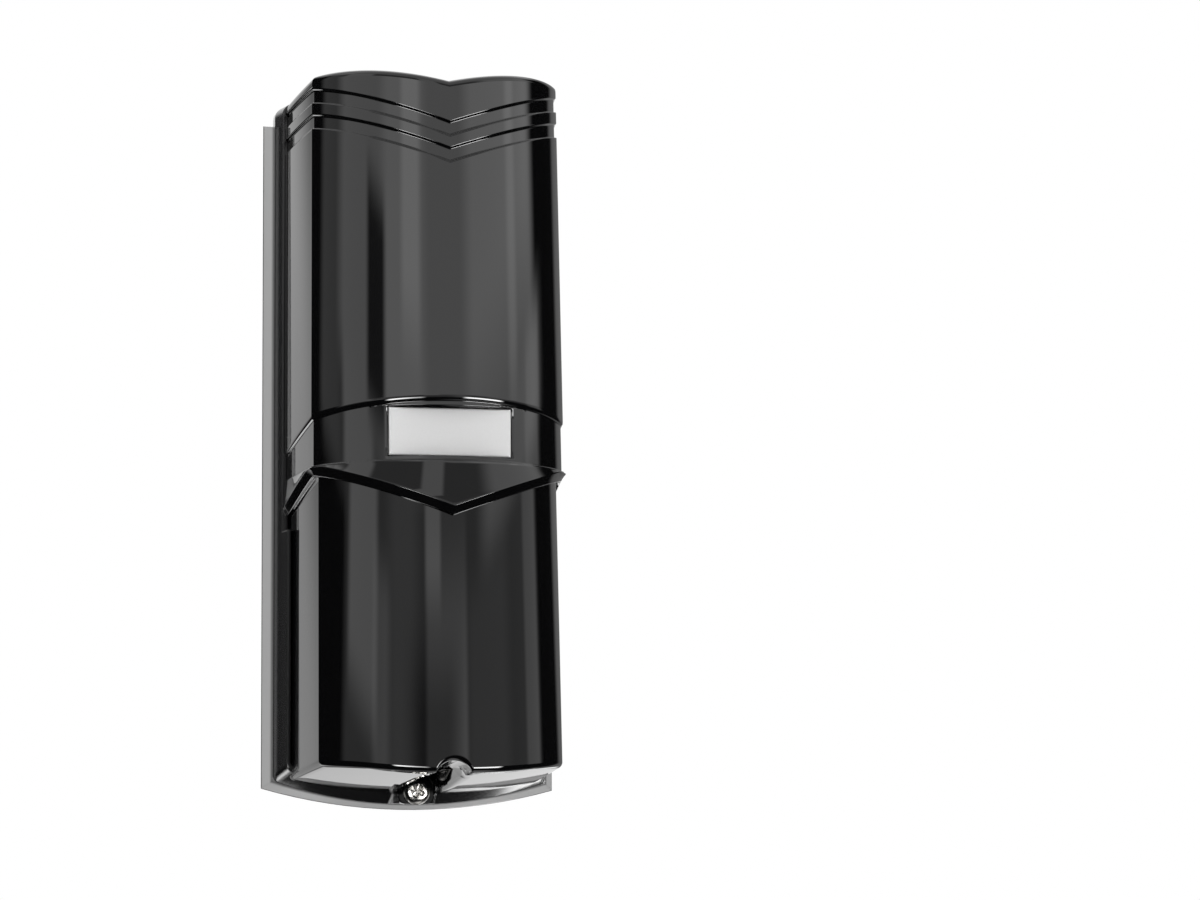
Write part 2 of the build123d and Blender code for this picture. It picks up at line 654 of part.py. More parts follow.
def delay_rotor():
    """Slotted rotor of the trimmer."""
    x, z = trimmer_place[0] + trimmer_size / 2, trimmer_place[1] + trimmer_size / 2
    start = board_front + trimmer_deep - 1.8
    body = rod(x, z, rotor_r, start, start + rotor_tall)
    return body - slab(x - 2.1, x + 2.1, start + rotor_tall - 1, start + rotor_tall + 1, z - 0.4, z + 0.4)


def status_leds():
    """Three round indicator lamps along the top of the board."""
    group = []
    nose = board_front + led_tall - led_r
    for x in (-led_spacing, 0.0, led_spacing):
        lamp = rod(x, led_z, led_r, board_front, nose) + Pos(x, -nose, led_z) * Sphere(led_r)
        group.append(lamp + rod(x, led_z, led_r + 0.3, board_front, board_front + 0.8))
    return Compound(group)


def tamper_switch():
    """Switch body with the bore its plunger slides in."""
    body = slab(tamper_x - tamper_wide / 2, tamper_x + tamper_wide / 2, chassis_front, chassis_front + tamper_deep,
                tamper_z - tamper_tall / 2, tamper_z + tamper_tall / 2)
    face = chassis_front + tamper_deep
    return body - rod(tamper_x, tamper_z, plunger_r + plunger_clear, face - plunger_in - 1.5, face + 1)


def tamper_plunger():
    """Plunger that the closed cover holds in."""
    face = chassis_front + tamper_deep
    return rod(tamper_x, tamper_z, plunger_r, face - plunger_in, face + plunger_out)


UNITS = ("upper", "lower")
SINGLE = (base_housing, front_cover, name_plate, cover_gasket, cover_screw, cover_screw_washer, cover_screw_insert,
          wiring_grommet, inner_chassis, chassis_screws, circuit_board, board_screws, terminal_block, terminal_screws,
          alarm_relay, capacitors, chips, delay_trimmer, delay_rotor, status_leds, tamper_switch, tamper_plunger)
PAIRED = (pan_bracket, pivot_keeper, lens_cup, lens, lens_bezel, aim_board, infrared_diode)
for make in SINGLE:
    export_step(Pos(0, 0, -origin_z) * make(), f"parts/{make.__name__}.step")
for number, name in enumerate(UNITS):
    for make in PAIRED:
        export_step(Pos(0, 0, -origin_z) * make(number), f"parts/{name}_{make.__name__}.step")
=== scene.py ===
import json
import math

import bmesh
import bpy
import numpy as np
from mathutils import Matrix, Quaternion, Vector


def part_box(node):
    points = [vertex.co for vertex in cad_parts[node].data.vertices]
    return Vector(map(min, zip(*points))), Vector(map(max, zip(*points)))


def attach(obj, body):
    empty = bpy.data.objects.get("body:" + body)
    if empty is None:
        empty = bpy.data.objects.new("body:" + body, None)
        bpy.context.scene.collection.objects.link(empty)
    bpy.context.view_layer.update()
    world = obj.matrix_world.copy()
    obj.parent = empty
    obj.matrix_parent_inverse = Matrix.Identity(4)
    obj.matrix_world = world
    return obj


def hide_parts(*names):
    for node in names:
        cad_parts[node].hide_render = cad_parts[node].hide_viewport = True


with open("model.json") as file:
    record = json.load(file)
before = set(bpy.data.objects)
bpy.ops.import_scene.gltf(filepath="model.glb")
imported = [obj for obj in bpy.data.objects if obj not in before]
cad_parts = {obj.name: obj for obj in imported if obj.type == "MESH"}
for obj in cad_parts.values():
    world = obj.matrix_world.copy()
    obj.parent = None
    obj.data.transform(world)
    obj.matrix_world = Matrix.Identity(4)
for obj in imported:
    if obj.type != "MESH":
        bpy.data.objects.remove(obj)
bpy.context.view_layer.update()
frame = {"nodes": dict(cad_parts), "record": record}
scene = bpy.context.scene
scene.view_settings.view_transform = "Standard"


# Rear housing: the shallow tray that is screwed to the wall, moulded in glossy black plastic. A flange runs
# round its back, and its bevelled edge carries a painted highlight: a pale grey band close to the wall that
# stands in for the light the bevel catches.
HOUSING_EDGE_R = 0.0009
# Tone and reach of the painted highlight on the flange's bevel.
PAINTED_HIGHLIGHT_TONE = 0.45
PAINTED_HIGHLIGHT_FROM_WALLS = (-0.0040, -0.0028)    # the object's y in metres where the band starts and where it is full
PAINTED_HIGHLIGHT_FROM_BACK = (-0.0001, -0.0003)


def material(name, color, rough, metallic=0.0, ior=1.5, transmission=0.0):
    """A material with those values on its shader's sockets, put on each CAD piece in the slot it names."""
    made = bpy.data.materials.new(name)
    made.use_nodes = True
    shader = made.node_tree.nodes["Principled BSDF"]
    shader.inputs["Base Color"].default_value = (*color, 1.0)
    shader.inputs["Roughness"].default_value = rough
    shader.inputs["Metallic"].default_value = metallic
    shader.inputs["IOR"].default_value = ior
    shader.inputs["Transmission Weight"].default_value = transmission
    for subpart in frame["record"]["subparts"]:
        if subpart["material_slot"] == name:
            mesh = frame["nodes"][subpart["node"]].data
            mesh.materials.clear()
            mesh.materials.append(made)
    return made


def add_node(mat, kind, **values):
    """A new node in the material, with its inputs set by name; an underscore stands for a space."""
    made = mat.node_tree.nodes.new(kind)
    for name, value in values.items():
        made.inputs[name.replace("_", " ")].default_value = value
    return made


def grain(mat, scale, roughs, tones=None, bump=0.0, bump_depth=0.0):
    """An uneven surface, driven by noise in object coordinates with about scale spots to the metre.

    The noise runs from one roughness to the other and from one tone to the other, and raises a bump of that
    strength and of that depth in metres.
    """
    link = mat.node_tree.links.new
    shader = mat.node_tree.nodes["Principled BSDF"]
    noise = add_node(mat, "ShaderNodeTexNoise", Scale=scale, Detail=3.0, Roughness=0.55)
    link(add_node(mat, "ShaderNodeTexCoord").outputs["Object"], noise.inputs["Vector"])
    span = add_node(mat, "ShaderNodeMapRange", To_Min=roughs[0], To_Max=roughs[1])
    link(noise.outputs["Fac"], span.inputs["Value"])
    link(span.outputs["Result"], shader.inputs["Roughness"])
    if tones:
        mixed = add_node(mat, "ShaderNodeMixRGB", Color1=(*tones[0], 1.0), Color2=(*tones[1], 1.0))
        link(noise.outputs["Fac"], mixed.inputs["Fac"])
        link(mixed.outputs["Color"], shader.inputs["Base Color"])
    if bump:
        raised = add_node(mat, "ShaderNodeBump", Strength=bump, Distance=bump_depth)
        link(noise.outputs["Fac"], raised.inputs["Height"])
        link(raised.outputs["Normal"], shader.inputs["Normal"])


def round_edges(mat, radius):
    """Shades the sharp edges as if they were rounded to that radius, under the bump of the grain."""
    bump = mat.node_tree.nodes["Principled BSDF"].inputs["Normal"].links[0].from_node
    rounded = add_node(mat, "ShaderNodeBevel", Radius=radius)
    mat.node_tree.links.new(rounded.outputs["Normal"], bump.inputs["Normal"])


housing_black = material("housing_black", (0.006, 0.006, 0.0065), 0.12)
grain(housing_black, 900.0, (0.1, 0.16), ((0.005, 0.005, 0.0055), (0.008, 0.008, 0.0085)), 0.05, 0.0001)
round_edges(housing_black, HOUSING_EDGE_R)

# Painted highlight: on the flange's bevel near the wall, the base colour is mixed towards pale grey to stand
# in for the light that the bevel catches.
link = housing_black.node_tree.links.new
depth = add_node(housing_black, "ShaderNodeSeparateXYZ")
link(add_node(housing_black, "ShaderNodeTexCoord").outputs["Object"], depth.inputs[0])
in_painted_highlight = add_node(housing_black, "ShaderNodeMath")
in_painted_highlight.operation = "MULTIPLY"
for socket, (start, full) in zip(in_painted_highlight.inputs, (PAINTED_HIGHLIGHT_FROM_WALLS, PAINTED_HIGHLIGHT_FROM_BACK)):
    ramp = add_node(housing_black, "ShaderNodeMapRange", From_Min=start, From_Max=full)
    link(depth.outputs["Y"], ramp.inputs["Value"])
    link(ramp.outputs["Result"], socket)
base_color = housing_black.node_tree.nodes["Principled BSDF"].inputs["Base Color"]
painted_highlight = add_node(housing_black, "ShaderNodeMixRGB", Color2=(PAINTED_HIGHLIGHT_TONE, PAINTED_HIGHLIGHT_TONE, PAINTED_HIGHLIGHT_TONE, 1.0))
link(base_color.links[0].from_socket, painted_highlight.inputs["Color1"])
link(in_painted_highlight.outputs[0], painted_highlight.inputs["Fac"])
link(painted_highlight.outputs["Color"], base_color)


# Screw insert: a turned brass bush with a thread inside, pressed into the housing's foot. The cover screw
# bites in it, so that the cover can come off often without wearing the plastic.
insert_brass = material("insert_brass", (0.8, 0.6, 0.28), 0.25, metallic=1.0)
grain(insert_brass, 2500.0, (0.2, 0.32), ((0.76, 0.56, 0.25), (0.84, 0.64, 0.32)), 0.05, 0.00003)


# Wiring grommet and cover gasket: soft black rubber. The grommet is pushed into the wiring hole in the
# back, and the gasket lies between the housing and the cover's skirt and keeps the rain out.
gasket_rubber = material("gasket_rubber", (0.02, 0.02, 0.02), 0.7)
grain(gasket_rubber, 1200.0, (0.62, 0.78), ((0.016, 0.016, 0.016), (0.026, 0.026, 0.026)), 0.1, 0.0001)


# Inner chassis: one dark moulding, screwed into the housing, that carries the circuit board and both lens
# units. Like the other plastic pieces inside, it has the fine texture of its mould.
MOULD_BUMP, MOULD_BUMP_DEPTH = 0.08, 0.00006


def moulded(slot, low, high, scale, roughs):
    """A plastic in two close tones, with the mould's texture."""
    grain(material(slot, low, roughs[0]), scale, roughs, (low, high), MOULD_BUMP, MOULD_BUMP_DEPTH)


moulded("chassis_plastic", (0.02, 0.02, 0.022), (0.03, 0.03, 0.032), 1400.0, (0.45, 0.6))


# Steel screws and the washer: zinc-plated steel, cold-headed and a little uneven. They hold the chassis,
# the board, the wires in their terminals and the pivots of the lens units, and the washer lies under the
# cover screw.
screw_steel = material("screw_steel", (0.36, 0.35, 0.33), 0.27, metallic=1.0)
grain(screw_steel, 2500.0, (0.22, 0.34), ((0.3, 0.29, 0.27), (0.42, 0.41, 0.39)), 0.05, 0.00003)


# Circuit boards: glass fibre under green lacquer. The main board is screwed to the chassis, and a small
# aiming board sits at the back of each lens unit.
moulded("board_green", (0.01, 0.09, 0.035), (0.015, 0.12, 0.05), 300.0, (0.3, 0.4))


# Pieces on the main board: terminal block, relay, flat packages, trimmer and its rotor, indicator lamps and
# the tamper switch, all moulded and soldered down, and two capacitors in aluminium cans. The tamper plunger
# is moulded too.
for slot, low, high, scale, roughs in (
        ("terminal_plastic", (0.02, 0.2, 0.09), (0.03, 0.24, 0.11), 1500.0, (0.4, 0.5)),
        ("relay_plastic", (0.7, 0.7, 0.66), (0.76, 0.76, 0.72), 1200.0, (0.4, 0.5)),
        ("chip_plastic", (0.012, 0.012, 0.012), (0.02, 0.02, 0.02), 2500.0, (0.5, 0.65)),
        ("trimmer_plastic", (0.02, 0.08, 0.34), (0.03, 0.1, 0.4), 1500.0, (0.35, 0.45)),
        ("rotor_plastic", (0.76, 0.76, 0.7), (0.82, 0.82, 0.76), 1500.0, (0.4, 0.5)),
        ("lamp_plastic", (0.5, 0.02, 0.015), (0.6, 0.03, 0.02), 800.0, (0.1, 0.16)),
        ("switch_plastic", (0.015, 0.015, 0.015), (0.025, 0.025, 0.025), 1500.0, (0.4, 0.5))):
    moulded(slot, low, high, scale, roughs)
capacitor_can = material("capacitor_can", (0.75, 0.75, 0.77), 0.25, metallic=1.0)
grain(capacitor_can, 1800.0, (0.2, 0.32), ((0.7, 0.7, 0.72), (0.8, 0.8, 0.82)), 0.05, 0.00003)


# Lens units: each is a dark cup with trunnions that tilts in a pan bracket, with a clear acrylic lens held
# by a bezel and a dark infrared diode behind it. All are moulded, and the diode is soldered to the aiming
# board.
moulded("bracket_plastic", (0.04, 0.04, 0.043), (0.055, 0.055, 0.058), 1500.0, (0.42, 0.55))
moulded("cup_plastic", (0.012, 0.012, 0.013), (0.02, 0.02, 0.021), 1500.0, (0.42, 0.55))
moulded("diode_plastic", (0.03, 0.02, 0.04), (0.04, 0.03, 0.05), 800.0, (0.08, 0.14))
lens_clear = material("lens_clear", (0.95, 0.97, 1.0), 0.02, transmission=1.0, ior=1.49)
grain(lens_clear, 200.0, (0.01, 0.03))


# Cover: one shell of high-gloss black plastic that only infrared light passes, with a two-lobed roof, two
# chevron grooves, a recessed band with a pocket for the name plate, a hood whose lip is a V, and a lower
# front that is set back and ends at the channel to the screw.

# Sizes are in millimetres: x is the width, t the depth in front of the wall and z the height over the
# housing's foot. In a pair, a size goes from the first value at the foot of its half of the cover to the
# second at the top.
ORIGIN_Z = 105.0
CREASE_Z = 97.6
UPPER = {"z": (CREASE_Z, 215.6), "rim_half": 39.6, "corner_half": (37.8, 36.9), "corner_t": (50.4, 44.6),
         "front_t": (73.6, 68.0)}
LOWER = {"z": (10.0, CREASE_Z), "rim_half": 38.1, "corner_half": (36.1, 35.5), "corner_t": (54.6, 49.4),
         "front_t": (75.9, 72.2)}
HALF = UPPER["corner_half"][0]
RIM_T, WALL, SIDE_BOW = 12.0, 2.0, 0.22
CORNER_R, CORNER_T = 1.3, 50.0
ROOF_DIP_Z, ROOF_LOBE, ROOF_SWELL, ROOF_SLOPE, ROOF_EDGE_R = 209.0, 6.6, 0.5, 0.088, 2.2
GROOVES = ((197.8, 193.8), (190.0, 186.0))
GROOVE_RISE, GROOVE_FALL, GROOVE_DEEP, GROOVE_SOFT = 0.35, 0.05, 0.7, 0.42
BAND_TOP_Z, BAND_BOW, BAND_FALL, BAND_DEEP, BAND_SOFT = 117.4, 6.0, 0.17, 0.7, 0.25
POCKET_HALF, POCKET_LOW_Z, POCKET_TOP_Z, POCKET_T, PLATE_Z = 18.45, 98.85, 113.55, 67.7, 106.0
LEVEL_HALF, BOWED_HALF, MIDDLE_Z = 19.5, 30.0, 150.0
LIP_TOP_TIP, LIP_TOP_RISE, LIP_LOW_TIP, LIP_LOW_RISE, LIP_FALL = 84.0, 0.363, 81.6, 0.357, 0.22
LIP_OUT, LIP_CORNER_OUT, LIP_TUCK, LIP_CLEAR = 1.3, 0.5, 0.8, 0.75
UNDER_Z, UNDER_SAG, UNDER_DRAFT, UNDER_FLAT_T, UNDER_EDGE_R = 6.9, 3.6, 0.05, 66.0, 1.6
SCREW_Z, CHANNEL_R = 4.7, 5.8

# Shares of the outline where the front's arc ends and where the side begins, and steps round a place that
# needs fine columns. Rows on each side of a sharp edge lie this far apart.
CORNER_START, CORNER_END = 0.62, 0.68
FRONT_COLUMNS, CORNER_COLUMNS, SIDE_COLUMNS = 120, 11, 14
FINE_STEPS = np.array([-0.003, -0.001, 0.001, 0.003])
SHARP = 0.01


def place(x, t, z):
    """Points at those widths, depths and heights in millimetres, as metres in the frame of the CAD model."""
    x, t, z = np.broadcast_arrays(np.asarray(x, float), np.asarray(t, float), np.asarray(z, float))
    return np.stack([x, -t, z - ORIGIN_Z], -1) / 1000.0


def outline(u, rim_half, corner_half, corner_t, front_t, inset):
    """Widths and depths round a level section, for u from -1 at the left rim through 0 at the front to 1.

    The front is an arc through its middle and both corners: with half width h and rise b its radius is (h^2
    + b^2) / 2b, and an inset shortens that radius. The side is the line from the corner to the rim, moved
    in along its normal and bowed out by 4 k (1 - k). The corner is a small arc that touches both: its
    centre lies the front's radius less its own from the front's centre, and its own radius inside the line.
    """
    a = np.abs(u)
    rise = front_t - corner_t
    front_r = (corner_half ** 2 + rise ** 2) / (2 * rise)
    centre_t = front_t - front_r
    side_x, side_t = rim_half - corner_half, RIM_T - corner_t
    normal_x, normal_t = -side_t / np.hypot(side_x, side_t), side_x / np.hypot(side_x, side_t)
    to_line = normal_x * corner_half + normal_t * corner_t - inset - CORNER_R - normal_t * centre_t
    foot_x, foot_t = normal_x * to_line, normal_t * to_line
    along = np.sqrt(np.maximum((front_r - inset - CORNER_R) ** 2 - foot_x ** 2 - foot_t ** 2, 0.0))
    arc_x, arc_t = foot_x - along * normal_t, centre_t + foot_t + along * normal_x

    front_end, side_start = np.arctan2(arc_x, arc_t - centre_t), np.arctan2(normal_x, normal_t)
    turn = np.clip(a / CORNER_START, 0, 1) * front_end
    front = (front_r - inset) * np.sin(turn), centre_t + (front_r - inset) * np.cos(turn)
    k = np.clip((a - CORNER_START) / (CORNER_END - CORNER_START), 0, 1)
    turn = front_end + (side_start - front_end) * k
    corner = arc_x + CORNER_R * np.sin(turn), arc_t + CORNER_R * np.cos(turn)
    k = np.clip((a - CORNER_END) / (1 - CORNER_END), 0, 1)
    bow = SIDE_BOW * 4 * k * (1 - k)
    start_x, start_t = arc_x + CORNER_R * normal_x, arc_t + CORNER_R * normal_t
    side = (start_x + (rim_half - inset / normal_x - start_x) * k + normal_x * bow,
            start_t + (RIM_T - start_t) * k + normal_t * bow)
    x, t = (np.where(a <= CORNER_START, on_front, np.where(a <= CORNER_END, on_corner, on_side))
            for on_front, on_corner, on_side in zip(front, corner, side))
    return np.sign(u) * x, t


def wall(half, u, z, inset=0.0):
    """The outline of that half of the cover at height z, each pair of sizes in proportion to the height."""
    low, high = half["z"]
    k = (z - low) / (high - low)
    corner_half, corner_t, front_t = (at_foot + (at_top - at_foot) * k for at_foot, at_top in (
        half["corner_half"], half["corner_t"], half["front_t"]))
    return outline(u, half["rim_half"], corner_half, corner_t, front_t, inset)


def smoothstep(x, low, high):
    """0 up to low, 1 from high on, and 3 k^2 - 2 k^3 between."""
    k = np.clip((x - low) / (high - low), 0.0, 1.0)
    return k * k * (3 - 2 * k)


def chevron(x, t, tip, rise, fall):
    """Height of a V line: tip + rise |x| in front, and lower by fall per mm back along the sides."""
    return np.minimum(tip + rise * np.abs(x), tip + rise * HALF - fall * (CORNER_T - t))


def roof(x, t):
    """Height of the roof: even slopes from a dip in the middle, plus a half sine, and a fall to the wall."""
    a = np.abs(x) / HALF
    swell = ROOF_SWELL * np.sin(np.pi * np.clip(a, 0, 1))
    return ROOF_DIP_Z + ROOF_LOBE * a + swell + ROOF_SLOPE * (t - CORNER_T)


def band_top(x, t):
    """Height of the recessed band's top edge: an arc in front, and a straight fall along the sides."""
    arc_r = (HALF ** 2 + BAND_BOW ** 2) / (2 * BAND_BOW)
    arc = BAND_TOP_Z - arc_r + np.sqrt(arc_r ** 2 - np.minimum(np.abs(x), HALF) ** 2)
    return np.minimum(arc, BAND_TOP_Z - BAND_BOW - BAND_FALL * (CORNER_T - t))


def crease(x, t):
    """Height of the level line where the band ends and the hood begins."""
    return np.full(np.shape(x), CREASE_Z)


def lip_top(x, t):
    """Height of the lip's upper edge: a V, cut off a little below the crease."""
    return np.minimum(chevron(x, t, LIP_TOP_TIP, LIP_TOP_RISE, LIP_FALL), CREASE_Z - LIP_CLEAR)


def lip_low(x, t):
    """Height of the lip's lower edge: a V."""
    return chevron(x, t, LIP_LOW_TIP, LIP_LOW_RISE, LIP_FALL)


def underside(x, t):
    """Height of the underside: a shallow arc that drops to the wall, cut by the channel to the screw."""
    arc_r = (LOWER["corner_half"][0] ** 2 + UNDER_SAG ** 2) / (2 * UNDER_SAG)
    low = UNDER_Z + arc_r - np.sqrt(arc_r ** 2 - x ** 2) + UNDER_DRAFT * np.minimum(t - UNDER_FLAT_T, 0.0)
    channel = SCREW_Z + np.sqrt(np.maximum(CHANNEL_R ** 2 - x ** 2, 0.0))
    return np.where(np.abs(x) < CHANNEL_R, np.maximum(low, channel), low)


def shifted(line, by):
    """The same line, that much higher."""
    def moved(x, t):
        return line(x, t) + by
    return moved


def between(top, bottom, k):
    """The line that share k of the way down from one line to another."""
    def mean(x, t):
        return top(x, t) * (1 - k) + bottom(x, t) * k
    return mean


def groove_edge(tip):
    """The V line of a groove's edge, with its tip at that height."""
    def line(x, t):
        return chevron(x, t, tip, GROOVE_RISE, GROOVE_FALL)
    return line


def columns():
    """Places of the grid's columns round the outline, fine at the ends of the pocket and the channel."""
    right = [np.linspace(0, CORNER_START, FRONT_COLUMNS),
             np.linspace(CORNER_START, CORNER_END, CORNER_COLUMNS),
             np.linspace(CORNER_END, 1.0, SIDE_COLUMNS)]
    front = np.linspace(0, CORNER_START, 4000)
    for half, z, x in ((LOWER, LOWER["z"][0], CHANNEL_R - 0.5), (UPPER, PLATE_Z, POCKET_HALF)):
        right.append(np.interp(x, wall(half, front, z)[0], front) + FINE_STEPS)
    right = np.unique(np.round(np.concatenate(right), 6))
    return np.concatenate([-right[:0:-1], right])


u = columns()
column_x = wall(UPPER, u, MIDDLE_Z)[0]
wall_rows = []


def add_row(half, line, inset=0.0):
    """Adds the row of points where that half of the wall, moved in by inset, meets the line.

    The wall leans, so its depth and the line's height depend on each other: they are worked out in turn,
    six times.
    """
    z = np.full(len(u), CREASE_Z)
    for _ in range(6):
        x, t = wall(half, u, z, inset)
        z = line(x, t)
    wall_rows.append((x, t, z))


def add_span(half, top, bottom, count, inset=0.0):
    """Adds that many rows, evenly spaced, between two lines."""
    for k in np.linspace(0, 1, count + 2)[1:-1]:
        add_row(half, between(top, bottom, k), inset)


def add_step(line, inset_above, inset_below, soft):
    """Adds the rows of a step in depth along a line of the upper half, with both its edges softened."""
    for by, k in ((soft + 0.12, 0.0), (soft, 0.0), (soft * 0.35, 0.06), (0.05, 0.3), (-0.05, 0.7),
                  (-soft * 0.35, 0.94), (-soft, 1.0), (-soft - 0.12, 1.0)):
        add_row(UPPER, shifted(line, by), inset_above + (inset_below - inset_above) * k)


def pocket_line(z):
    """A line that is level over the pocket, and passes by a smooth step to the band's bow on each side."""
    share = (z - CREASE_Z) / (BAND_TOP_Z - CREASE_Z)

    def line(x, t):
        bowed = between(crease, band_top, share)(x, t)
        return z + smoothstep(np.abs(x), LEVEL_HALF, BOWED_HALF) * (bowed - z)
    return line


def add_pocket_row(z, sunk):
    """Adds a row of the band at that height over the pocket; a sunk one lies on the pocket's floor there.

    The last column inside the pocket and the first one outside it are drawn up to the pocket's upright
    edge.
    """
    add_row(UPPER, pocket_line(z), BAND_DEEP)
    x, t, height = wall_rows.pop()
    edge_x, edge_t = x.copy(), t.copy()
    inside = np.where(np.abs(x) < POCKET_HALF)[0]
    for side, j in ((-1, inside[0]), (1, inside[-1])):
        edge_x[j], edge_x[j + side] = side * (POCKET_HALF - SHARP), side * (POCKET_HALF + SHARP)
        same_side = x * side >= 0
        order = np.argsort(x[same_side] * side)
        reach, back = (x[same_side] * side)[order], t[same_side][order]
        edge_t[j] = edge_t[j + side] = np.interp(POCKET_HALF + SHARP, reach, back)
    if sunk:
        edge_t[inside] = POCKET_T
    wall_rows.append((edge_x, edge_t, height))


def lip_inset(out, tuck=0.0):
    """Inset of a row of the hood.

    The row goes out by a share of the lip's overhang, which is less at the corners, and in by a share of
    the tuck.
    """
    a = np.minimum(np.abs(column_x) / HALF, 1.0)
    return tuck * LIP_TUCK * a - out * (LIP_OUT - (LIP_OUT - LIP_CORNER_OUT) * a)


# Roof edge, grooves and the plain wall below them.
for angle in np.linspace(0, math.pi / 2, 9):
    drop, inset = ROOF_EDGE_R * (1 - math.cos(angle)), ROOF_EDGE_R * (1 - math.sin(angle))
    add_row(UPPER, shifted(roof, -drop), inset)
add_row(UPPER, shifted(roof, -ROOF_EDGE_R - 0.15))
above, count = shifted(roof, -ROOF_EDGE_R), 3
for top_tip, low_tip in GROOVES:
    add_span(UPPER, above, groove_edge(top_tip), count)
    add_step(groove_edge(top_tip), 0.0, GROOVE_DEEP, GROOVE_SOFT)
    add_step(groove_edge(low_tip), GROOVE_DEEP, 0.0, GROOVE_SOFT)
    above, count = groove_edge(low_tip), 1
add_span(UPPER, above, band_top, 8)

# Band: the wall rolls in over its top edge, and the pocket is sunk between two rows at each of its level
# edges.
for by, inset in ((1.6, 0.0), (1.3, 0.0), (1.0, 0.01), (0.7, 0.04), (0.45, 0.1), (0.25, 0.18), (0.1, 0.3),
                  (0.0, 0.5), (-0.1, 0.66), (-0.25, BAND_DEEP), (-0.4, BAND_DEEP)):
    add_row(UPPER, shifted(band_top, by), inset)
add_span(UPPER, band_top, pocket_line(POCKET_TOP_Z), 2, BAND_DEEP)
add_pocket_row(POCKET_TOP_Z + 0.25, False)
add_pocket_row(POCKET_TOP_Z + SHARP, False)
for z in np.linspace(POCKET_TOP_Z, POCKET_LOW_Z, 6):
    add_pocket_row(z, True)
add_pocket_row(POCKET_LOW_Z - SHARP, False)
add_pocket_row(POCKET_LOW_Z - 0.2, False)
add_step(crease, BAND_DEEP, 0.0, BAND_SOFT)

# Hood: it flares to the lip's rounded upper edge, turns back to the lower edge and tucks in to the lower
# half.
for k in np.linspace(0, 1, 9)[1:-1]:
    add_row(UPPER, between(shifted(crease, -0.37), shifted(lip_top, 0.2), k), lip_inset(0.94 * k))
for by, out in ((0.2, 0.94), (0.1, 0.98), (0.0, 1.0), (-0.1, 0.97), (-0.2, 0.9)):
    add_row(UPPER, shifted(lip_top, by), lip_inset(out))
for k in (0.25, 0.5, 0.75):
    add_row(UPPER, between(shifted(lip_top, -0.2), shifted(lip_low, 0.3), k), lip_inset(0.9 - 0.6 * k, k))
for by, out in ((0.3, 0.3), (0.15, 0.2), (0.06, 0.1), (0.0, -0.08), (-0.05, -0.3)):
    add_row(UPPER, shifted(lip_low, by), lip_inset(out, 1.0))

# Lower half, from inside the lip to the rounded edge of the underside.
for by, inset in ((0.3, -0.3), (0.35, 0.0), (0.2, 0.0), (-0.5, 0.0)):
    add_row(LOWER, shifted(lip_low, by), inset)
add_span(LOWER, shifted(lip_low, -0.5), underside, 8)
add_row(LOWER, shifted(underside, UNDER_EDGE_R + 0.15))
for angle in np.linspace(0, math.pi / 2, 9):
    rise, inset = UNDER_EDGE_R * (1 - math.sin(angle)), UNDER_EDGE_R * (1 - math.cos(angle))
    add_row(LOWER, shifted(underside, rise), inset)


def grid_faces(rows, cols, start=0, wrap=False):
    """Quads over a grid of points, numbered by rows from start; wrap joins the last column to the first."""
    i, j = np.meshgrid(np.arange(rows - 1), np.arange(cols if wrap else cols - 1), indexing="ij")
    a, b = start + i * cols + j, start + i * cols + (j + 1) % cols
    return np.stack([a, b, b + cols, a + cols], -1).reshape(-1, 4)


def closed_piece(name, points, faces, smooth=True):
    """An object of those faces: points that meet are merged, pinched faces go, and all face outwards."""
    mesh = bpy.data.meshes.new(name)
    mesh.from_pydata(points.reshape(-1, 3).tolist(), [], faces.tolist())
    shape = bmesh.new()
    shape.from_mesh(mesh)
    bmesh.ops.remove_doubles(shape, verts=shape.verts, dist=1e-6)
    bmesh.ops.dissolve_degenerate(shape, edges=shape.edges, dist=1e-7)
    bmesh.ops.recalc_face_normals(shape, faces=shape.faces)
    shape.to_mesh(mesh)
    shape.free()
    mesh.polygons.foreach_set("use_smooth", [smooth] * len(mesh.polygons))
    mesh.update()
    piece = bpy.data.objects.new(name, mesh)
    scene.collection.objects.link(piece)
    return piece


# The outside is the wall's grid, closed by the roof and the underside. Each of these two is a grid of the
# right half of the wall's edge, drawn across to the left. The rims lists are the open edges, where the
# cover meets the housing.
cols, middle = len(u), len(u) // 2
across = np.linspace(1, -1, 41)[:, None]
blocks = [place(*np.stack(wall_rows, 1))]
faces = [grid_faces(len(wall_rows), cols)]
rims = [np.arange(len(wall_rows)) * cols, np.arange(len(wall_rows)) * cols + cols - 1]
start = len(wall_rows) * cols
for (edge_x, edge_t, edge_z), height in ((wall_rows[0], roof), (wall_rows[-1], underside)):
    x, t = edge_x[middle:] * across, edge_t[middle:]
    blocks.append(place(x, t, np.where(np.abs(across) == 1, edge_z[middle:], height(x, t))))
    faces.append(grid_faces(*x.shape, start))
    rims.append(start + (np.arange(len(across)) + 1) * x.shape[1] - 1)
    start += x.size
outside = np.concatenate([block.reshape(-1, 3) for block in blocks])

# The inside is the outside, drawn towards the middle of its opening by the wall's thickness each way.
opening = np.array([0.0, -RIM_T / 1000.0, 0.0])
inside = opening + (outside - opening) * (1 - WALL / np.array([HALF, UPPER["front_t"][0] - RIM_T, ORIGIN_Z]))
skin = np.concatenate(faces)
rim_faces = [np.stack([a, b, b + start, a + start], -1) for a, b in ((rim[:-1], rim[1:]) for rim in rims)]
cover = closed_piece("cover_shell", np.concatenate([outside, inside]),
                     np.concatenate([skin, skin + start] + rim_faces))

cover_black = material("cover_black", (0.002, 0.002, 0.0023), 0.03)
grain(cover_black, 260.0, (0.02, 0.04), ((0.0018, 0.0018, 0.002), (0.0026, 0.0026, 0.0029)))
cover.data.materials.append(cover_black)
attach(cover, "housing")
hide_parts("front_cover")


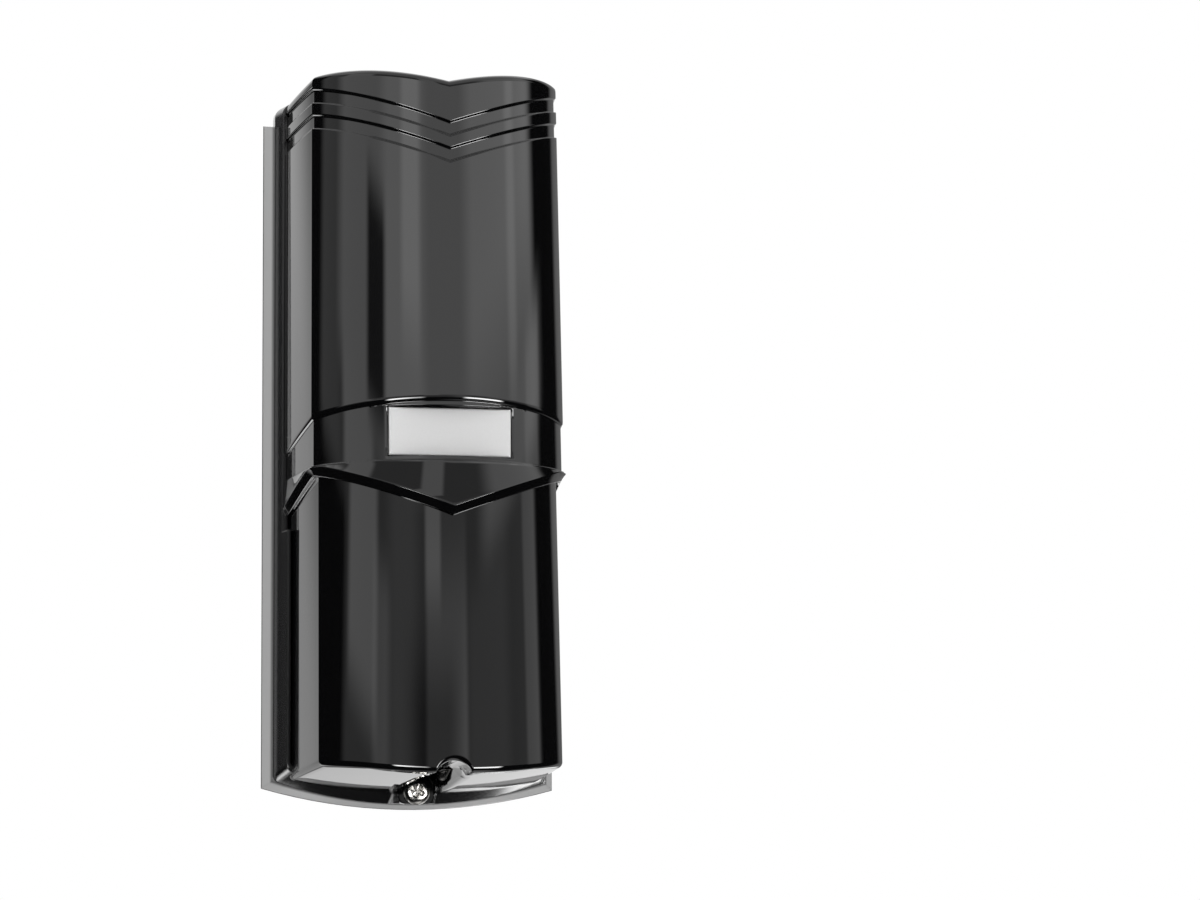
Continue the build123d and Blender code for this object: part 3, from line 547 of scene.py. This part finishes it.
# Cover lug: the flat tab under the cover's channel, moulded in one with the cover. The cover screw goes
# through its hole and holds the cover down on the housing.
LUG_HALF, LUG_LOW_Z, LUG_TOP_Z = 5.4, 1.0, 14.5
LUG_BACK_T, LUG_FRONT_T, LUG_EDGE, LUG_HOLE_R = 12.0, 14.6, 0.3, 2.3
LUG_POINTS, SQUARE_POWER, ROUND_POWER = 96, 40.0, 5.0
lug_turn = np.linspace(0, 2 * np.pi, LUG_POINTS + 1)[:-1]


def ring(radius, t):
    """A ring round the screw's axis at depth t, with a radius for each ray or one for all."""
    return place(radius * np.cos(lug_turn), t, SCREW_Z + radius * np.sin(lug_turn))


def lug_radius(less):
    """How far the lug reaches along each ray, made smaller by less all round.

    The edge is where |x / half|^p + |z / tall|^p = 1: p is large above the axis, for square corners, and
    small below.
    """
    c, s = np.cos(lug_turn), np.sin(lug_turn)
    tall = np.where(s > 0, LUG_TOP_Z - SCREW_Z - less, SCREW_Z - LUG_LOW_Z - less)
    power = np.where(s > 0, SQUARE_POWER, ROUND_POWER)
    return (np.abs(c / (LUG_HALF - less)) ** power + np.abs(s / tall) ** power) ** (-1 / power)


rings = np.stack([ring(lug_radius(0.0), LUG_BACK_T), ring(lug_radius(0.0), LUG_FRONT_T - LUG_EDGE),
                  ring(lug_radius(LUG_EDGE), LUG_FRONT_T), ring(LUG_HOLE_R, LUG_FRONT_T),
                  ring(LUG_HOLE_R, LUG_BACK_T), ring(lug_radius(0.0), LUG_BACK_T)])
lug = closed_piece("cover_lug", rings, grid_faces(len(rings), LUG_POINTS, wrap=True), smooth=False)
lug.data.materials.append(cover_black)
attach(lug, "housing")
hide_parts("front_cover")


# Name plate: a blank plate of light grey plastic, glued into the pocket of the cover's band. Its face is
# satin, and its edges are slightly rounded.
plate_grey = material("plate_grey", (0.72, 0.72, 0.72), 0.38)
grain(plate_grey, 1500.0, (0.34, 0.42), ((0.70, 0.70, 0.70), (0.74, 0.74, 0.74)), 0.03, 0.00005)
round_edges(plate_grey, 0.0004)


# Cover screw: a steel pan-head screw with a cross recess, of the same plated steel as the others. It goes
# through the washer and the lug into the brass insert.
low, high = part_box("cover_screw")
HEAD_BACK_T = 15.2
HEAD_R = (high[0] - low[0]) / 2 * 1000.0
HEAD_TALL = -low[1] * 1000.0 - HEAD_BACK_T
SHANK_END_T = -high[1] * 1000.0
SHANK_R, SHANK_TIP = 1.95, 0.5
CROSS_WIDE, CROSS_LONG, CROSS_DEEP, CROSS_TURN = 1.1, 4.2, 0.7, 0.5
HEAD_RINGS, HEAD_RAYS = 60, 128


def bar(across, along):
    """1 inside one bar of the cross and 0 outside it, with soft walls."""
    return ((1 - smoothstep(across, CROSS_WIDE / 2 - 0.15, CROSS_WIDE / 2 + 0.15))
            * (1 - smoothstep(along, CROSS_LONG / 2 - 0.5, CROSS_LONG / 2 + 0.1)))


def head_front(r, angle):
    """Height of the head's front over its seat: a dome H (1 - (r / R)^5)^0.6, less the cross's depth."""
    x, z = np.abs(r * np.cos(angle + CROSS_TURN)), np.abs(r * np.sin(angle + CROSS_TURN))
    dome = HEAD_TALL * np.maximum(1 - (r / HEAD_R) ** 5, 0.0) ** 0.6
    return dome - CROSS_DEEP * np.maximum(bar(x, z), bar(z, x))


rays = np.linspace(0, 2 * np.pi, HEAD_RAYS + 1)[:-1]
r, angle = np.meshgrid(np.linspace(0, HEAD_R, HEAD_RINGS), rays, indexing="ij")
head = place(r * np.cos(angle), HEAD_BACK_T + head_front(r, angle), SCREW_Z + r * np.sin(angle))
shank_r = np.array([SHANK_R, SHANK_R, SHANK_R - SHANK_TIP, 0.0])[:, None]
shank_t = np.array([HEAD_BACK_T, SHANK_END_T + SHANK_TIP, SHANK_END_T, SHANK_END_T])[:, None]
shank = place(shank_r * np.cos(rays), shank_t, SCREW_Z + shank_r * np.sin(rays))
screw_points = np.concatenate([head, shank])
screw = closed_piece("cover_screw_pan_head", screw_points,
                     grid_faces(len(screw_points), HEAD_RAYS, wrap=True))
screw.data.materials.append(screw_steel)
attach(screw, "housing")
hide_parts("cover_screw")


# Floor: a plain pale floor well below the object, which hangs at the wall. It takes the object's shadow,
# and doesn't show in the glossy cover.
FLOOR_HALF, FLOOR_Z = 6.0, -0.3
floor_mesh = bpy.data.meshes.new("floor")
corners = [(x * FLOOR_HALF, y * FLOOR_HALF, FLOOR_Z) for x, y in ((-1, -1), (1, -1), (1, 1), (-1, 1))]
floor_mesh.from_pydata(corners, [], [(0, 1, 2, 3)])
floor = bpy.data.objects.new("floor", floor_mesh)
scene.collection.objects.link(floor)
floor.data.materials.append(material("floor_white", (0.9, 0.9, 0.9), 0.6))
floor.visible_glossy = False


# Studio: the camera sees a white ground and dull surfaces get an even fill. Glossy ones mirror a dark room
# with soft boxes of light round the object.
FILL, DARK_ROOM = 0.88, 0.01
studio = bpy.data.worlds.new("studio")
scene.world = studio
studio.use_nodes = True
tree = studio.node_tree
tree.nodes.clear()

# A box is its azimuth from the front, positive to the right, as from, to and softness in degrees, then the
# same three for its elevation, then its strength.
BOXES = (
    # Behind the object, for its sides.
    (-200, -160, 8, -90, 90, 4, 1.0),
    (158, 200, 8, -14, 90, 4, 1.0),
    (125, 158, 8, -90, 90, 4, 0.45),
    (-106, -86, 8, 9.9, 90, 1.0, 0.55),
    # A little above the eye, for the upper half of the front, which leans back.
    (-86, 90, 10, 11.7, 19.5, 1.2, 1.45),
    (-46, -12, 12, 11.7, 19.5, 1.2, 0.55),
    (-30, -15, 6, 13.8, 19.5, 1.6, 0.9),
    (24, 88, 14, 12.8, 19.5, 2.4, 0.75),
    (62, 70, 6, 11.7, 19.5, 1.2, 0.7),
    # Nearer to eye level, for the lower half of the front.
    (-86, 96, 8, 4, 11.7, 1.2, 0.42),
    (-82, -55, 6, 8.0, 11.7, 1.2, 1.1),
    (-57, -44, 8, 5, 10, 1.0, 0.6),
    (-44, -20, 14, 5, 11.7, 1.2, 0.25),
    (22, 60, 14, 5, 10, 1.0, 0.2),
    (79, 95, 5, 0, 11.7, 1.2, 0.5),
    (38, 95, 18, 10.2, 11.7, 1.0, 1.0),
    (-13, 0, 4, 10.2, 11.7, 1.0, 1.0),
    # Higher up, for edges and steps that face upwards.
    (-86, 96, 8, 19.5, 40, 1.2, 0.42),
    (-82, -55, 6, 19.5, 40, 1.2, 1.1),
    (38, 95, 18, 19.5, 40, 1.2, 1.1),
    (-13, 4, 4, 19.5, 40, 1.2, 1.0),
    (-180, 180, 2, 40, 90, 10, 1.2),
    # Below the eye: two bright ones for the fine lights along the grooves and edges, and one for the
    # screw's head.
    (-40, -12, 6, -18, 0, 3, 26.0),
    (21, 52, 6, -18, 0, 3, 26.0),
    (-12, 22, 5, -8, 10, 4, 1.1),
    # Low down, for the hood's underside, the lip and the housing's tray.
    (40, 180, 20, -90, -58, 8, 1.2),
    (146, 166, 6, -26, -17, 4, 3.2),
    (-166, -150, 6, -36, -20, 6, 5.0))

# A flag darkens what lies behind it by its last number, and is otherwise placed as a box is.
FLAGS = (
    (-205, -120, 8, -90, 9.3, 6, 0.35),
    (-59.5, -44.5, 5, 12.0, 14.8, 1.0, 0.93),
    (-24, 16, 22, -90, 9.4, 1.5, 0.65))


def white_light(strength):
    """A white background of that strength."""
    made = tree.nodes.new("ShaderNodeBackground")
    made.inputs["Color"].default_value = (1, 1, 1, 1)
    made.inputs["Strength"].default_value = strength
    return made


def choose(rays, otherwise, chosen):
    """The second shader for those rays and the first one for the others."""
    made = tree.nodes.new("ShaderNodeMixShader")
    for socket, source in zip(made.inputs, (rays, otherwise, chosen)):
        tree.links.new(source, socket)
    return made.outputs[0]


def calculate(kind, *values):
    """A sum, product or like of values, each a number or another node's output."""
    made = tree.nodes.new("ShaderNodeMath")
    made.operation = kind
    for socket, value in zip(made.inputs, values):
        if isinstance(value, (int, float)):
            socket.default_value = value
        else:
            tree.links.new(value, socket)
    return made.outputs[0]


def soft_edge(angle, degrees, soft, before, after):
    """A smooth step from before to after, centred on that many degrees."""
    made = tree.nodes.new("ShaderNodeMapRange")
    made.interpolation_type = "SMOOTHSTEP"
    tree.links.new(angle, made.inputs["Value"])
    start, end = math.radians(degrees - soft / 2), math.radians(degrees + soft / 2)
    for name, value in (("From Min", start), ("From Max", end), ("To Min", before), ("To Max", after)):
        made.inputs[name].default_value = value
    return made.outputs[0]


def window(angle, low, high, soft):
    """1 where the angle is between low and high, with soft sides."""
    rise, fall = soft_edge(angle, low, soft, 0.0, 1.0), soft_edge(angle, high, soft, 1.0, 0.0)
    return calculate("MULTIPLY", rise, fall)


direction = tree.nodes.new("ShaderNodeSeparateXYZ")
tree.links.new(tree.nodes.new("ShaderNodeTexCoord").outputs["Generated"], direction.inputs[0])
azimuth = calculate("ARCTAN2", direction.outputs["X"], calculate("MULTIPLY", direction.outputs["Y"], -1.0))
elevation = calculate("ARCSINE", direction.outputs["Z"])
light = DARK_ROOM
for *across_room, low, high, soft, strength in BOXES:
    share = calculate("MULTIPLY", window(azimuth, *across_room), window(elevation, low, high, soft))
    light = calculate("ADD", calculate("MULTIPLY", share, strength), light)
for *across_room, low, high, soft, strength in FLAGS:
    share = calculate("MULTIPLY", window(azimuth, *across_room), window(elevation, low, high, soft))
    light = calculate("MULTIPLY", light, calculate("SUBTRACT", 1.0, calculate("MULTIPLY", share, strength)))
room = white_light(1.0)
tree.links.new(light, room.inputs["Strength"])

path = tree.nodes.new("ShaderNodeLightPath")
unseen = choose(path.outputs["Is Glossy Ray"], white_light(FILL).outputs[0], room.outputs[0])
seen = choose(path.outputs["Is Camera Ray"], unseen, white_light(1.0).outputs[0])
tree.links.new(seen, tree.nodes.new("ShaderNodeOutputWorld").inputs["Surface"])


# Key light: a large soft panel above, in front and to the right of the object. It models the plate and the
# screw a little, and isn't mirrored in the cover.
key = bpy.data.lights.new("key", "AREA")
key.shape, key.size, key.size_y, key.energy = "RECTANGLE", 0.8, 1.2, 2.0
key_obj = bpy.data.objects.new("key", key)
scene.collection.objects.link(key_obj)
key_obj.location = (0.7, -1.4, 0.9)
key_obj.rotation_euler = (-key_obj.location).to_track_quat("-Z", "Y").to_euler()
key_obj.visible_glossy = False


# Camera: a long lens, left of the object and lower than its foot. It is aimed up and past the object on the
# right and rolled by a hair, so that the object stands nearly upright in the left part of the frame.
IMAGE_WIDE, IMAGE_TALL, SENSOR = 1200.0, 900.0, 36.0
TURN, ROLL = math.radians(10.5), math.radians(-0.287)
FOCAL_PIXELS, ZOOM = 4732.0, 1.0160
LEVEL_U, LEVEL_V = 411.2, 1040.6        # pixel that the level line of sight falls on
DISTANCE, EYE_Z = 1449.4, -72.0
camera_data = bpy.data.cameras.new("camera")
camera_data.sensor_width = SENSOR
camera_data.lens = FOCAL_PIXELS * ZOOM / IMAGE_WIDE * SENSOR
camera_data.clip_start, camera_data.clip_end = 0.1, 30.0
camera = bpy.data.objects.new("camera", camera_data)
scene.collection.objects.link(camera)
forward = Vector((math.sin(TURN), math.cos(TURN), 0.0))
rightward = Vector((math.cos(TURN), -math.sin(TURN), 0.0))
upward = Vector((0.0, 0.0, 1.0))
camera.location = Vector((0.0, -0.004, (EYE_Z - ORIGIN_Z) / 1000.0)) - forward * (DISTANCE / 1000.0)
aim = (forward + rightward * ((IMAGE_WIDE / 2 - LEVEL_U) / FOCAL_PIXELS)
       + upward * ((LEVEL_V - IMAGE_TALL / 2) / FOCAL_PIXELS))
camera.rotation_euler = (aim.to_track_quat("-Z", "Y") @ Quaternion((0.0, 0.0, 1.0), ROLL)).to_euler()
scene.camera = camera
